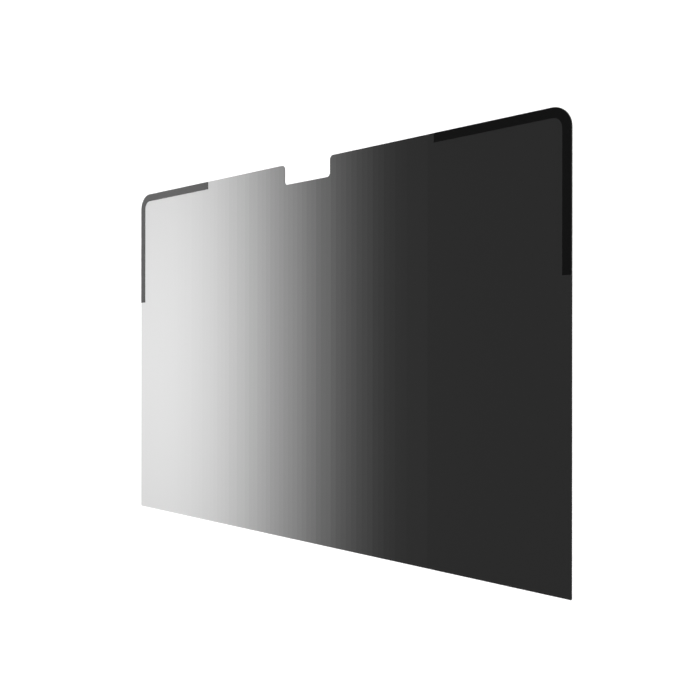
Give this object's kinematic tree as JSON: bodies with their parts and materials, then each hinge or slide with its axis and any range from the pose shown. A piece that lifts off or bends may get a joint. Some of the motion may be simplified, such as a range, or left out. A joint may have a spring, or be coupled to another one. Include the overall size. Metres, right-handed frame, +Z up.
{
  "type": "laptop privacy filter",
  "caption": "Thin flat louvre film with rounded top corners and a camera notch, held to a notebook screen's bezel by flat L-shaped corner magnets, that darkens the screen from the side.",
  "frame": {"origin": "middle of the film's lower face, which lies on the surface", "axes": "+X along the width, to the right seen from the magnet side; +Y towards the notched top edge; +Z up, out of the magnet side"},
  "size_m": [0.31, 0.201, 0.0006],
  "materials": {
    "film": "satin louvre film that fades from pale silver at its left edge to near black at its right",
    "magnet": "smooth black flexible magnet with a fine grain"
  },
  "bodies": {
    "root": {"privacy_film": "film", "left_corner_magnet": "magnet", "right_corner_magnet": "magnet"}
  },
  "joints": []
}
